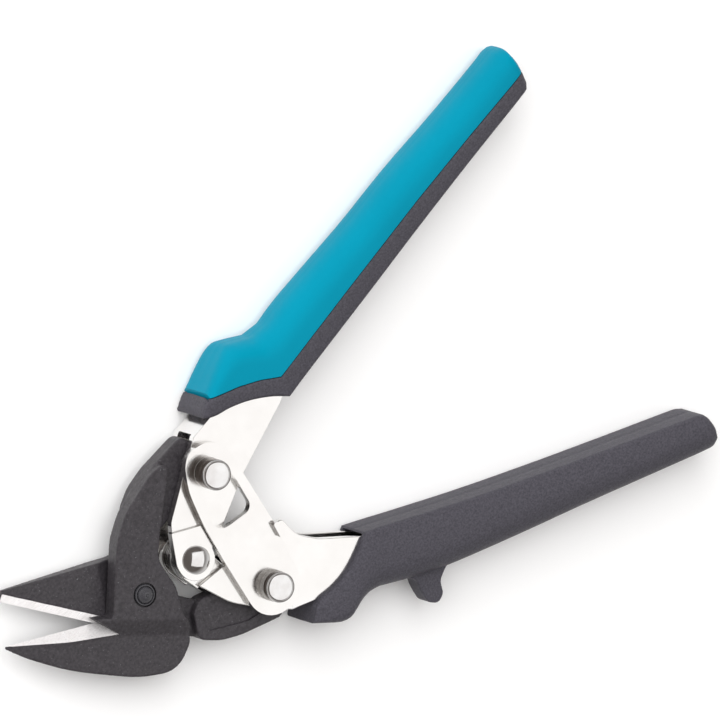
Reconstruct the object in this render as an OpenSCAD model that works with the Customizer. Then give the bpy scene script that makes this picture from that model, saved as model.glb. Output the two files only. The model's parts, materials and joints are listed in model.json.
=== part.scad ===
// Compound-leverage metal shear (left-cutting compact snips).
// Lies flat, latch side up. X runs along the centre line of the linkage,
// with the jaws towards -X and the handles towards +X. It is drawn fully open.

/* [Linkage] */
// Blade pivot to link pin, on both blades
blade_link = 30.8; // [30.6:0.1:31]
// Handle pivot to link pin, on both handles
handle_link = 19.95; // [19.8:0.05:20.1]
// Half angle between the blade arms when fully open
open_half = 30.35; // [30:0.05:30.6]

/* [Sheet metal] */
// Outer width of the stamped handle channels
channel_w = 10; // [9.8:0.1:10.2]
// Sheet thickness of the handle channels
sheet = 2; // [1.8:0.1:2]
// Thickness of the latch plate
latch_t = 1.9; // [1.5:0.1:2]
// Outward step of the upper ears over the lower ears
ear_step = 0.9; // [0.8:0.05:1]

/* [Blades] */
// Thickness of each blade at the pivot boss
blade_t = 4.5; // [4.2:0.1:4.6]
// Thickness of each blade arm between the channel cheeks
arm_t = 4.8; // [4.4:0.1:5]
// Thickness of the lower jaw beside the boss
jaw_t = 3.1; // [2.8:0.1:3.4]

/* [Pins] */
// Shank radius of both link pins
link_pin_r = 2.8; // [2.6:0.05:2.8]
// Head radius of both link pins
link_head_r = 3.55; // [3.4:0.05:3.6]
// Shank radius of the handle pivot pin
pivot_pin_r = 2.4; // [2.2:0.05:2.5]
// Head radius of the handle pivot pin
pivot_head_r = 3.4; // [3.2:0.05:3.5]
// Shank radius of the blade pivot bolt
bolt_r = 2.2; // [2:0.05:2.4]
// Head radius of the blade pivot bolt
bolt_head_r = 2.85; // [2.7:0.05:3]

/* [Grips] */
// Thickness of both grips
grip_t = 14.3; // [14:0.1:14.6]
// Corner radius of the grips' cross-section
grip_corner = 3; // [2.5:0.25:3.5]
// Thickness of the coloured grip cover at its sides
cover_t = 1.3; // [1.1:0.1:1.4]

/* [Spring] */
// Wire radius of the return spring
wire_r = 0.37; // [0.3:0.01:0.38]
// Mean radius of the coils
coil_r = 3.75; // [3.6:0.05:3.9]

/* [Hidden] */
$fn = 64;

run_gap = 0.05;                     // running clearance on a pin's radius
loop_gap = 0.25;                    // clearance of the link that closes the loop
half_w = channel_w / 2;
cheek_z = half_w - sheet;           // inner face of a cheek
ear_z = cheek_z + ear_step;         // inner face of a raised upper ear
ear_top = half_w + ear_step;
low_ear_top = ear_z - 0.1;          // outer face of a lowered lower ear
low_ear_z = low_ear_top - sheet + 0.1;
latch_z = half_w + 0.1;
latch_top = latch_z + latch_t;
upper_rim = latch_top + 4.4;        // rim height of the upper link pin's head
lower_rim = latch_top + 3.6;        // rim height of the lower link pin's head
spring_washer_t = 0.55;             // thickness of each washer over the latch
spring_washer_pitch = 0.6;
ear_r = 4.7;
frame_end = 118;                    // where the channels end inside the grips
web_start = 28.8;                   // the web starts behind the tip of the blade arm
web_rise = 0.2605;                  // slope of the web to the centre line
web_offset = 14.35;                 // height of the web's inner face over the centre line, at x = 0
beyond = 125;                       // anywhere past the end of the channels

link_x = blade_link * cos(open_half);
link_y = blade_link * sin(open_half);
blade_pivot = [0, 0];
upper_link = [link_x, link_y];
lower_link = [link_x, -link_y];
handle_pivot = [link_x - sqrt(handle_link * handle_link - link_y * link_y), 0];

// Outermost points of the outlines, which put the origin under the middle
jaw_end = -33.5;
grip_end = 139.2;
grip_high = 55.3;
grip_low = -54.8;
centre = [(jaw_end + grip_end) / 2, (grip_high + grip_low) / 2];

// ---------------------------------------------------------------- helpers

function unit(v) = v / norm(v);

// Arc that rounds corner q, between its neighbours p and s, in steps fine
// enough to stay within a few hundredths of the true arc
function fillet(p, q, s, r) =
    let (a = unit(p - q), b = unit(s - q), half = acos(a * b) / 2)
    r == 0 || half > 89.5 ? [q] :
    let (c = q + unit(a + b) * r / sin(half),
         from = unit(q + a * r / tan(half) - c),
         to = unit(q + b * r / tan(half) - c),
         sweep = 180 - 2 * half,
         steps = max(2, ceil(sweep / min(12, 30 / sqrt(r)))))
    [for (i = [0:steps])
        c + r * (sin(sweep * (1 - i / steps)) * from + sin(sweep * i / steps) * to) / sin(sweep)];

function xy(v) = [v[0], v[1]];

// Outline from corners [x, y, rounding radius]
function rounded(corners) =
    let (n = len(corners))
    [for (i = [0:n - 1])
        each fillet(xy(corners[(i + n - 1) % n]), xy(corners[i]),
                    xy(corners[(i + 1) % n]), corners[i][2])];

// The same outline on the other side of the centre line
function flipped(corners) = [for (c = corners) [c[0], -c[1], c[2]]];

// Plate with the given outline between two heights
module plate(corners, low, high) {
    translate([0, 0, low])
        linear_extrude(high - low)
            polygon(rounded(corners));
}

module rod(at, r, low, high) {
    translate([at[0], at[1], low])
        cylinder(r = r, h = high - low);
}

module ring(at, r_in, r_out, low, high) {
    translate([at[0], at[1], low])
        rotate_extrude()
            translate([r_in, 0])
                square([r_out - r_in, high - low]);
}

// Everything above a plane through a line on the ground: the line passes
// point p at height z, runs at angle dir, and the plane drops by slope
// degrees to the left of it
module above_plane(p, z, dir, slope) {
    translate([p[0], p[1], z])
        rotate([0, 0, dir])
            rotate([-slope, 0, 0])
                translate([-90, -90, 0])
                    cube([180, 180, 40]);
}

// Turned pin head with a domed top: rim at height rim, dome above it
module domed_head(at, r, low, rim, dome) {
    translate([at[0], at[1], 0])
        rotate_extrude()
            intersection() {
                union() {
                    translate([0, low])
                        square([r, rim - low]);
                    translate([0, rim + dome - (r * r + dome * dome) / (2 * dome)])
                        circle(r = (r * r + dome * dome) / (2 * dome), $fn = 160);
                }
                translate([0, low])
                    square([r, rim + dome - low]);
            }
}

// Row frame: origin under the middle of the shear, on the surface it lies on
module placed() {
    translate([-centre[0], -centre[1], grip_t / 2])
        children();
}

// ---------------------------------------------------------------- blades

// Lower blade, seen from above: jaw, heel, boss and the start of its arm
lower_jaw_outline = [
    [-33.5, 8.3, 0.3], [-32.4, 8.6, 0.4], [-22, 4.3, 60], [-11.4, -0.4, 0], [-9, -2, 0.8],
    [-8.6, 1.6, 8], [-4.6, 8.4, 12], [4, 18.2, 20], [16, 23.6, 8], [21.5, 22.8, 1.5],
    [16.6, 17.6, 12], [11.6, 13, 4], [8.9, 7.6, 6], [5.9, 4.2, 7], [7, -2, 9],
    [6.8, -13.5, 6], [1, -18.9, 5], [-6.5, -18.2, 8], [-17, -11.4, 40], [-28.6, 1.4, 60]];

// Arm of either blade, drawn for the lower blade
arm_outline = [
    [6.4, 17.4, 2], [11, 21.2, 12], [16, 23.3, 14], [26.6, 25, 2.4], [28.2, 21.6, 3],
    [29.6, 20.6, 3], [33.2, 16.6, 4.6], [31, 9.6, 4.6], [22.5, 9.2, 4], [15, 10.6, 10],
    [11.2, 9.4, 3], [8.4, 11.6, 2]];

// Upper blade, which lies under the lower one
upper_jaw_outline = [
    [-27.2, 18.3, 0.3], [-28.5, 17.5, 0.4], [-20.4, 7.8, 96], [-11.3, -0.3, 0], [-2.6, -8.4, 30],
    [8, -18.4, 14], [16, -22, 5], [20.8, -20.8, 1.5], [16.2, -15.6, 10], [8.9, -7.6, 6],
    [5.9, -4.2, 7], [6.6, 2, 8], [6.4, 9.6, 4.5], [0, 10.4, 10]];

module arm(corners) {
    plate(corners, -arm_t / 2, arm_t / 2);
}

module lower_blade() {
    color("#484446") placed()
        difference() {
            union() {
                plate(lower_jaw_outline, 0, blade_t);
                arm(arm_outline);
            }
            // slope down beside the boss to the thinner jaw
            intersection() {
                above_plane([-9.5, -0.1], blade_t, 146.3, 20);
                translate([-60, -40, jaw_t])
                    cube([80, 80, 20]);
            }
            // the jaw thins to its tip
            intersection() {
                above_plane([-9.5, -0.1], blade_t, 146.3, 20);
                above_plane([-11, -4], jaw_t, 60, 4.6);
            }
            // ground cutting bevel
            intersection() {
                above_plane([-11.4, -0.35], 0, 338.7, 43);
                translate([-60, -12, -1])
                    cube([50.9, 40, 20]);
            }
            rod(blade_pivot, bolt_head_r + 0.2, blade_t - 0.5, blade_t + 1);
            rod(blade_pivot, bolt_r + run_gap, -1, blade_t);
            rod(upper_link, link_pin_r + loop_gap, -half_w, half_w);
        }
}

module upper_blade() {
    color("#484446") placed()
        difference() {
            union() {
                plate(upper_jaw_outline, -blade_t, 0);
                arm(flipped(arm_outline));
            }
            // the jaw's far side thins to its tip
            mirror([0, 0, 1])
                intersection() {
                    above_plane([-6, 9], blade_t, 50, 7);
                    translate([-60, -40, 0])
                        cube([54, 80, 20]);
                }
            // ground land along the cutting edge
            intersection() {
                above_plane([-12.6, 2.1], -0.05, 133.5, 14);
                translate([-60, -0.1, -3])
                    cube([50, 40, 6]);
            }
            rod(blade_pivot, bolt_r, -blade_t - 1, 1);
            rod(lower_link, link_pin_r + run_gap, -half_w, half_w);
        }
}

module blade_pivot_bolt() {
    color("#2c2a2c") placed() {
        domed_head(blade_pivot, bolt_head_r, blade_t - 0.45, blade_t + 0.1, 0.6);
        rod(blade_pivot, bolt_r, -blade_t - 2.4, blade_t - 0.4);
    }
}

module blade_pivot_nut() {
    color("#2c2a2c") placed()
        difference() {
            translate([0, 0, -blade_t - 2.4])
                cylinder(r = 4.2, h = 2, $fn = 6);
            rod(blade_pivot, bolt_r, -blade_t - 3, -blade_t + 1);
        }
}

module pivot_washer() {
    color("#b8b6b2") placed()
        ring(blade_pivot, bolt_r, 4.6, -blade_t - 0.4, -blade_t);
}

// ---------------------------------------------------------------- handle frames

upper_cheek_outline = [
    [28.3, 23.8, 0.4], [frame_end, 47.2, 1], [frame_end, 41.6, 1], [56, 22.4, 6], [50.2, 18.2, 8],
    [34, 9.6, 12], [21.6, 1, 0], [21.6, 4.4, 0], [12.4, 7.9, 0], [13.6, 10.4, 4]];

upper_ear_outline = [
    [12.1, 8.6, 0], [19.2, 6, 0], [19.2, 0.4, 0], [handle_pivot[0] + ear_r, 0, 0],
    [handle_pivot[0] + ear_r, -ear_r, ear_r - 0.1],
    [handle_pivot[0] - ear_r, -ear_r, ear_r - 0.1], [handle_pivot[0] - ear_r, 1.4, 3]];

// Level stretch of the step between an upper ear and its cheek
upper_step_outline = [[18.9, 6.1, 0], [22.2, 4.9, 0], [22.2, 1.6, 0], [18.9, 0.5, 0]];

lower_cheek_outline = [
    [28.3, -23.8, 0.4], [frame_end, -47.2, 1], [frame_end, -41.6, 1], [56, -22.4, 6],
    [50.6, -19.2, 10], [42, -13.8, 9], [37.9, -9.8, 6], [36.8, -4.5, 1.2], [34.4, -4.7, 0.8],
    [19.4, -5.4, 0], [11.9, -5.8, 0], [16.4, -13.6, 14], [22.6, -19.4, 14]];

lower_ear_outline = [
    [11.6, -6.6, 0], [19.9, -6.2, 0], [18.6, -2.2, 3], [handle_pivot[0] + ear_r, ear_r, ear_r - 0.1],
    [handle_pivot[0] - ear_r, ear_r, ear_r - 0.1], [handle_pivot[0] - ear_r, -1.4, 3]];

// Space between the cheeks, up to the inner face of the upper web
channel_room = [
    [web_start, web_offset + web_rise * web_start, 0], [beyond, web_offset + web_rise * beyond, 0],
    [beyond, -30, 0], [-5, -30, 0], [-5, 30, 0], [web_start, 30, 0]];

module both_sides() {
    children();
    mirror([0, 0, 1])
        children();
}

module upper_frame() {
    color("#e9e8e6") placed()
        difference() {
            union() {
                difference() {
                    plate(upper_cheek_outline, -half_w, half_w);
                    plate(channel_room, -cheek_z, cheek_z);
                }
                both_sides() {
                    plate(upper_ear_outline, ear_z, ear_top);
                    plate(upper_step_outline, ear_z, half_w);
                }
            }
            rod(handle_pivot, pivot_pin_r + run_gap, -ear_top - 1, ear_top + 1);
            rod(upper_link, link_pin_r, -half_w - 1, half_w + 1);
        }
}

module lower_frame() {
    color("#e9e8e6") placed()
        difference() {
            union() {
                difference() {
                    plate(lower_cheek_outline, -half_w, half_w);
                    plate(flipped(channel_room), -cheek_z, cheek_z);
                }
                both_sides()
                    plate(lower_ear_outline, low_ear_z, low_ear_top);
            }
            rod(handle_pivot, pivot_pin_r, -ear_top - 1, ear_top + 1);
            rod(lower_link, link_pin_r, -half_w - 1, half_w + 1);
        }
}

// ---------------------------------------------------------------- pins

// Link pin: shank, tall domed head above the latch, formed end underneath
module link_pin(at, low, rim) {
    domed_head(at, link_head_r, low, rim, 0.6);
    rod(at, link_pin_r, -half_w - 1.1, low + 0.1);
    rod(at, link_pin_r + 0.5, -half_w - 1.6, -half_w - 0.6);
}

module upper_link_pin() {
    color("#d6d7da") placed()
        link_pin(upper_link, latch_top + 0.15, upper_rim);
}

module lower_link_pin() {
    color("#d6d7da") placed()
        link_pin(lower_link, latch_top + 0.1 + 3 * spring_washer_pitch, lower_rim);
}

module link_washer(at) {
    ring(at, link_pin_r, link_pin_r + 1.6, -half_w - 0.6, -half_w);
}

module upper_link_washer() {
    color("#d6d7da") placed()
        link_washer(upper_link);
}

module lower_link_washer() {
    color("#d6d7da") placed()
        link_washer(lower_link);
}

module handle_pivot_pin() {
    color("#d6d7da") placed() {
        domed_head(handle_pivot, pivot_head_r, ear_top + 0.05, ear_top + 0.35, 1.5);
        rod(handle_pivot, pivot_pin_r, -ear_top - 0.9, ear_top + 0.1);
        rod(handle_pivot, pivot_pin_r + 0.4, -ear_top - 1.2, -ear_top - 0.5);
    }
}

module handle_pivot_washer() {
    color("#d6d7da") placed()
        ring(handle_pivot, pivot_pin_r, pivot_pin_r + 1.4, -ear_top - 0.5, -ear_top - 0.05);
}

// Thin washers that centre a blade arm between the cheeks
module arm_spacers(at) {
    both_sides()
        ring(at, link_pin_r, link_pin_r + 2, arm_t / 2 + 0.05, cheek_z);
}

module upper_arm_spacers() {
    color("#b8b6b2") placed()
        arm_spacers(upper_link);
}

module lower_arm_spacers() {
    color("#b8b6b2") placed()
        arm_spacers(lower_link);
}

// ---------------------------------------------------------------- spring

low_coil_z = low_ear_z - 0.06 - wire_r;   // height of the first and last coil
leg_angle = 38;
coil_sweep = 3 * 360 + 360 - 2 * (90 - leg_angle);
coil_steps = 72;

function on_coil(t) =
    let (a = 90 - leg_angle + coil_sweep * t)
    [handle_pivot[0] + coil_r * cos(a), coil_r * sin(a), low_coil_z * (2 * t - 1)];

// Wire of the spring: leg in the lower handle, coils, leg in the upper handle
spring_path = concat(
    [[39.4, -23.4, -low_coil_z], [37.4, -14.6, -low_coil_z], [33.6, -10.5, -low_coil_z]],
    [for (i = [0:coil_steps]) on_coil(i / coil_steps)],
    [[33.6, 10.5, low_coil_z], [37.4, 14.6, low_coil_z], [39.4, 23.4, low_coil_z]]);

function heading(path, i) =
    unit(path[min(i + 1, len(path) - 1)] - path[max(i - 1, 0)]);

// Round wire swept along a path that stays roughly level
module wire(path, r, sides = 8) {
    last = len(path) - 1;
    points = [for (i = [0:last])
        let (h = heading(path, i), across = unit(cross(h, [0, 0, 1])), up = cross(across, h))
        for (k = [0:sides - 1])
            path[i] + r * (cos(360 * k / sides) * across + sin(360 * k / sides) * up)];
    walls = [for (i = [0:last - 1], k = [0:sides - 1])
        let (n = (k + 1) % sides)
        [i * sides + k, i * sides + n, (i + 1) * sides + n, (i + 1) * sides + k]];
    first_cap = [for (k = [sides - 1:-1:0]) k];
    last_cap = [for (k = [0:sides - 1]) last * sides + k];
    polyhedron(points, concat([first_cap, last_cap], walls), convexity = 10);
}

module return_spring() {
    color("#8f9094") placed()
        wire(spring_path, wire_r);
}

module spring_sleeve() {
    color("#b8b6b2") placed()
        ring(handle_pivot, pivot_pin_r, coil_r - wire_r - 0.2, -low_ear_z, low_ear_z);
}

// ---------------------------------------------------------------- latch

latch_outline = [
    [22.2, 19.6, 3], [20.2, 14.6, 14], [19.3, 6, 30], [19.3, -4.4, 40], [20, -22.2, 6.5],
    [33.1, -22.2, 6.4], [33.4, -13, 20], [34, -6.8, 0], [34.3, -6.8, 0], [34.5, -3.2, 0],
    [34.1, -3.2, 0], [33.6, 10, 40], [33.2, 22.2, 6.4], [24.2, 22.2, 4]];

// Hooked slot: round entry at the open position, a passage down, a side pocket
module latch_slot() {
    rod(upper_link, link_head_r, latch_z - 1, latch_top + 1);
    plate([[24.2, 15.6, 0], [30.15, 15.6, 0], [31.4, 10.4, 3], [31.5, 2.4, 2.2],
           [21.3, 2.4, 3.2], [21.3, 9.1, 3.2], [24.9, 9.2, 0.5], [24.2, 12.4, 3]],
          latch_z - 1, latch_top + 1);
}

module latch_plate() {
    color("#f0efed") placed() {
        difference() {
            plate(latch_outline, latch_z, latch_top);
            latch_slot();
            rod(lower_link, link_pin_r + run_gap, latch_z - 1, latch_top + 1);
        }
        // thumb tab bent up at the edge
        plate([[33.2, -6.8, 0.3], [34.4, -6.8, 0.3], [34.5, -3.2, 0.3], [33.3, -3.2, 0.3]],
              latch_z, latch_top + 1.4);
    }
}

module latch_spring_washers() {
    color("#d6d7da") placed()
        for (i = [0:2])
            ring(lower_link, link_pin_r, link_head_r, latch_top + 0.05 + spring_washer_pitch * i,
                 latch_top + 0.05 + spring_washer_t + spring_washer_pitch * i);
}

// ---------------------------------------------------------------- grips

half_grip = grip_t / 2;

// Round-ended post; hulls of these give the grips their rounded section
module post(at) {
    translate([at[0], at[1], 0])
        rotate_extrude($fn = 24)
            intersection() {
                union() {
                    translate([0, half_grip - grip_corner])
                        circle(r = grip_corner, $fn = 24);
                    translate([0, grip_corner - half_grip])
                        circle(r = grip_corner, $fn = 24);
                    translate([0, grip_corner - half_grip])
                        square([grip_corner, grip_t - 2 * grip_corner]);
                }
                translate([0, -half_grip])
                    square([grip_corner, grip_t]);
            }
}

// Stations along a grip: post centres on its outer and its inner side
module grip_body(stations) {
    for (i = [0:len(stations) - 2])
        hull() {
            for (at = concat(stations[i], stations[i + 1]))
                post(at);
        }
}

upper_front = [52.1, 22];
upper_stations = [
    [[34.4, 29.2], [38, 28.4]], [[44.4, 33.6], upper_front], [[50.6, 32], upper_front],
    [[55.2, 31.2], [56, 23.2]], [[66, 33.2], [66, 26.2]], [[80.6, 37.2], [80.6, 30.6]],
    [[95, 41.2], [95, 34.9]], [[110, 45.3], [110, 39.4]], [[134.4, 52], [135.9, 47.4]]];

lower_front = [52.2, -22.8];
lower_stations = [
    [[34, -27.9], [36.2, -27.4]], [[39.5, -31.2], lower_front], [[46.3, -29.3], lower_front],
    [[50.2, -29.9], [54, -23.4]], [[68, -35], [68, -27.8]], [[90.6, -41.1], [90.6, -34.7]],
    [[112, -46.6], [112, -41.3]], [[132.9, -51.7], [133.3, -48]]];

// Part of the upper grip that the coloured cover takes
cover_zone = [
    [26, 36.5, 0], [34.1, 31, 4], [43, 28.6, 20], [49, 26.4, 8], [52.8, 24.8, 3], [144, 50.9, 0],
    [144, 64, 0], [26, 64, 0]];

// Core under the cover
core_outline = [
    [36.5, 31, 1], [44.6, 35, 3], [50.8, 33.5, 6], [56, 32.8, 6], [66, 34.8, 30], [95, 42.8, 60],
    [132.5, 53, 2], [133.5, 46.5, 1], [52, 24, 2], [40, 28, 2]];

module core_under_cover() {
    intersection() {
        plate(core_outline, cover_t - half_grip, half_grip - cover_t);
        plate(cover_zone, -half_grip, half_grip);
    }
}

module upper_grip_cover() {
    color("#009bb9") placed()
        difference() {
            intersection() {
                grip_body(upper_stations);
                plate(cover_zone, -half_grip - 1, half_grip + 1);
            }
            plate(core_outline, cover_t - half_grip, half_grip - cover_t);
        }
}

module upper_grip_core() {
    color("#45454c") placed()
        difference() {
            union() {
                difference() {
                    grip_body(upper_stations);
                    plate(cover_zone, -half_grip - 1, half_grip + 1);
                }
                core_under_cover();
            }
            plate(upper_cheek_outline, -half_w, half_w);
        }
}

module lower_grip() {
    color("#45454c") placed()
        difference() {
            union() {
                grip_body(lower_stations);
                // finger stop
                hull() {
                    rod([60, -41.6], 1.9, -4.6, 4.6);
                    rod([62, -36], 3.4, -5.6, 5.6);
                }
            }
            plate(lower_cheek_outline, -half_w, half_w);
        }
}

lower_blade();
upper_blade();
blade_pivot_bolt();
blade_pivot_nut();
pivot_washer();
upper_frame();
lower_frame();
handle_pivot_pin();
handle_pivot_washer();
upper_link_pin();
upper_link_washer();
lower_link_pin();
lower_link_washer();
return_spring();
spring_sleeve();
latch_plate();
latch_spring_washers();
upper_grip_core();
upper_grip_cover();
lower_grip();
upper_arm_spacers();
lower_arm_spacers();
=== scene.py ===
"""Looks of the compound-leverage metal shear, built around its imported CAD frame."""
import json
import math

import bmesh
import bpy
from mathutils import Matrix, Vector


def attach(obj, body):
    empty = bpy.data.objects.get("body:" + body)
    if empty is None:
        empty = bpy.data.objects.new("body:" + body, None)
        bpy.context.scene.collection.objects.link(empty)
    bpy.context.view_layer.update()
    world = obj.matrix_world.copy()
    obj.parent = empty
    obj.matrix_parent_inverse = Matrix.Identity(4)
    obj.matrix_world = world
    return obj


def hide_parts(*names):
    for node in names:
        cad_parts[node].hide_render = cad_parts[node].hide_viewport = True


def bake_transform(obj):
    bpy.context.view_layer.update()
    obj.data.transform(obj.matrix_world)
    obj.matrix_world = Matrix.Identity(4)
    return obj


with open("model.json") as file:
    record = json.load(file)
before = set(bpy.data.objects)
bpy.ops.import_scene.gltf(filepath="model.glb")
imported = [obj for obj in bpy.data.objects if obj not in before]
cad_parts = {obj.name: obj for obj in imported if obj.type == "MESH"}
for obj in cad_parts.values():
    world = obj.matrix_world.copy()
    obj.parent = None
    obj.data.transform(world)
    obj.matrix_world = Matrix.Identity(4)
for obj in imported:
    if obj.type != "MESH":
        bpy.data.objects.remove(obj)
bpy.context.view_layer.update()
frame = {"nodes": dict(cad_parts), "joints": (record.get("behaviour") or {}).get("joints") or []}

MM = 0.001
PIVOT = {j["name"]: Vector(j["pos_m"]) for j in frame["joints"]}
BLADE_PIVOT = PIVOT["lower_blade_turn"]


def at(x, y, z=0.0):
    """Point in metres from millimetres off the blade pivot: x towards the grips, z off the mid-plane."""
    return BLADE_PIVOT + Vector((x, y, z)) * MM


def local(point):
    """The same, the other way round: millimetres off the blade pivot."""
    return (Vector(point) - BLADE_PIVOT) / MM


HANDLE_PIVOT = local(PIVOT["handle_squeeze"])
LOWER_LINK = local(PIVOT["upper_blade_turn"])
UPPER_LINK = Vector((LOWER_LINK.x, -LOWER_LINK.y, 0))


def on_circle(centre, radius, turn, z=0.0):
    """Point in metres on a level circle; turn counts whole turns from the x axis."""
    return at(centre[0] + radius * math.cos(2 * math.pi * turn),
              centre[1] + radius * math.sin(2 * math.pi * turn), z)


# ------------------------------------------------------------------ camera, light and floor

VIEW = Vector((-0.298, 0.349, 0.888)).normalized()   # from the shear towards the camera
UP = Vector((0.567, 0.814, -0.13))
DISTANCE = 5.0
PICTURE_WIDTH = 0.1619                               # width of the picture at the shear
LENS = 1000
AIM = (52.3, 0.25)                                   # aimed at the middle of the shear, in millimetres,
AIM_RIGHT, AIM_UP = 0.01008, 0.02222                 # then off it by these, in metres

KEY_SIZE, KEY_DISTANCE, KEY_WATTS = 0.8, 0.8, 1.92
KEY_SHIFT = Vector((-0.012, 0.08, 0.03))             # off the plates' mirror direction
FILL_SIZE, FILL_DISTANCE, FILL_WATTS = 1.6, 1.2, 23.2
FILL_FROM = (-0.12, 0.64, 0.8)
HORIZON = (0.34, (0.64, 0.63, 0.62, 1))              # height of direction, and colour up to there
ZENITH = (0.64, (0.125, 0.11, 0.102, 1))             # the same, from there up
FLOOR_REACH = 3.0


def look_rotation(direction, up):
    """Rotation of a camera or area light whose back points along direction."""
    back = direction.normalized()
    right = up.cross(back).normalized()
    return Matrix((right, back.cross(right), back)).transposed().to_euler()


def add_camera():
    right = UP.cross(VIEW).normalized()
    up = VIEW.cross(right)
    aim = at(*AIM) + right * AIM_RIGHT + up * AIM_UP
    data = bpy.data.cameras.new("camera")
    data.lens = LENS
    data.sensor_width = LENS * PICTURE_WIDTH / DISTANCE
    data.clip_start = 0.1
    camera = bpy.data.objects.new("camera", data)
    camera.location = aim + VIEW * DISTANCE
    camera.rotation_euler = look_rotation(VIEW, UP)
    bpy.context.scene.collection.objects.link(camera)
    bpy.context.scene.camera = camera


def softbox(name, direction, distance, size, watts, up=Vector((0, 0, 1))):
    """Square area light that faces the origin."""
    data = bpy.data.lights.new(name, "AREA")
    data.shape = "SQUARE"
    data.size = size
    data.energy = watts
    lamp = bpy.data.objects.new(name, data)
    lamp.location = Vector(direction).normalized() * distance
    lamp.rotation_euler = look_rotation(Vector(direction), up)
    bpy.context.scene.collection.objects.link(lamp)
    return lamp


def add_light():
    """A softbox that the flat plates mirror to the camera, and a fill that only matt surfaces see.

    The room is bright near the horizon and dark above.
    """
    mirror = Vector((-VIEW.x, -VIEW.y, VIEW.z)) + KEY_SHIFT
    softbox("key_softbox", mirror, KEY_DISTANCE, KEY_SIZE, KEY_WATTS, up=Vector((UP.x, UP.y, 0)))
    fill = softbox("frontal_fill", FILL_FROM, FILL_DISTANCE, FILL_SIZE, FILL_WATTS)
    fill.visible_glossy = False
    world = bpy.data.worlds.new("studio")
    world.use_nodes = True
    nodes, links = world.node_tree.nodes, world.node_tree.links
    direction = nodes.new("ShaderNodeTexCoord").outputs["Generated"]
    split = nodes.new("ShaderNodeSeparateXYZ")
    ramp = nodes.new("ShaderNodeValToRGB")
    links.new(direction, split.inputs["Vector"])
    links.new(split.outputs["Z"], ramp.inputs["Fac"])
    links.new(ramp.outputs["Color"], nodes["Background"].inputs["Color"])
    for element, (height, color) in zip(ramp.color_ramp.elements, (HORIZON, ZENITH)):
        element.position, element.color = height, color
    bpy.context.scene.world = world
    bpy.context.scene.view_settings.view_transform = "Standard"


def add_floor():
    reach = FLOOR_REACH
    corners = [(-reach, -reach, 0), (reach, -reach, 0), (reach, reach, 0), (-reach, reach, 0)]
    mesh = bpy.data.meshes.new("floor")
    mesh.from_pydata(corners, [], [(0, 1, 2, 3)])
    mesh.materials.append(floor_material())
    floor = bpy.data.objects.new("floor", mesh)
    bpy.context.scene.collection.objects.link(floor)


# ------------------------------------------------------------------ materials

class Shader:
    """A Principled material and the few node patterns that the finishes here share."""

    def __init__(self, name, color, roughness, metallic=0.0, **sockets):
        self.material = bpy.data.materials.new(name)
        self.material.use_nodes = True
        self.nodes = self.material.node_tree.nodes
        self.links = self.material.node_tree.links
        self.bsdf = self.nodes["Principled BSDF"]
        self.set("Base Color", (*color, 1))
        self.set("Roughness", roughness)
        self.set("Metallic", metallic)
        for socket, value in sockets.items():
            self.set(socket.replace("_", " "), value)
        self.place = self.nodes.new("ShaderNodeTexCoord").outputs["Object"]
        self.relief = None

    def set(self, socket, value):
        self.bsdf.inputs[socket].default_value = value

    def stretched(self, scale, turn=(0, 0, 0)):
        """Object coordinates for a pattern that is drawn out one way."""
        mapping = self.nodes.new("ShaderNodeMapping")
        mapping.inputs["Scale"].default_value = scale
        mapping.inputs["Rotation"].default_value = turn
        self.links.new(self.place, mapping.inputs["Vector"])
        return mapping.outputs["Vector"]

    def noise(self, scale, detail=3.0, vector=None, rough=0.5):
        node = self.nodes.new("ShaderNodeTexNoise")
        node.inputs["Scale"].default_value = scale
        node.inputs["Detail"].default_value = detail
        node.inputs["Roughness"].default_value = rough
        self.links.new(vector or self.place, node.inputs["Vector"])
        return node.outputs["Fac"]

    def ramp(self, value, *stops):
        """Colours or greys, each at its place between 0 and 1."""
        node = self.nodes.new("ShaderNodeValToRGB")
        ramp = node.color_ramp
        while len(ramp.elements) < len(stops):
            ramp.elements.new(0.5)
        for element, (place, color) in zip(ramp.elements, stops):
            element.position = place
            element.color = (*color, 1) if isinstance(color, tuple) else (color, color, color, 1)
        self.links.new(value, node.inputs["Fac"])
        return node.outputs["Color"]

    def mix(self, amount, first, second):
        node = self.nodes.new("ShaderNodeMix")
        node.data_type = "RGBA"
        for socket, value in ((0, amount), (6, first), (7, second)):
            if isinstance(value, bpy.types.NodeSocket):
                self.links.new(value, node.inputs[socket])
            else:
                node.inputs[socket].default_value = value
        return node.outputs[2]

    def color(self, output):
        self.links.new(output, self.bsdf.inputs["Base Color"])

    def roughness(self, output):
        self.links.new(output, self.bsdf.inputs["Roughness"])

    def bump(self, height, depth, strength=1.0):
        """Adds relief; depth is in metres."""
        node = self.nodes.new("ShaderNodeBump")
        node.inputs["Strength"].default_value = strength
        node.inputs["Distance"].default_value = depth
        self.links.new(height, node.inputs["Height"])
        if self.relief:
            self.links.new(self.relief, node.inputs["Normal"])
        self.relief = node.outputs["Normal"]
        self.links.new(self.relief, self.bsdf.inputs["Normal"])


def floor_material():
    """Pale matt backdrop paper."""
    shader = Shader("studio_paper", (0.95, 0.95, 0.95), 0.95, Specular_IOR_Level=0.1)
    shader.bump(shader.noise(900), 0.00002)
    return shader.material


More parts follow.
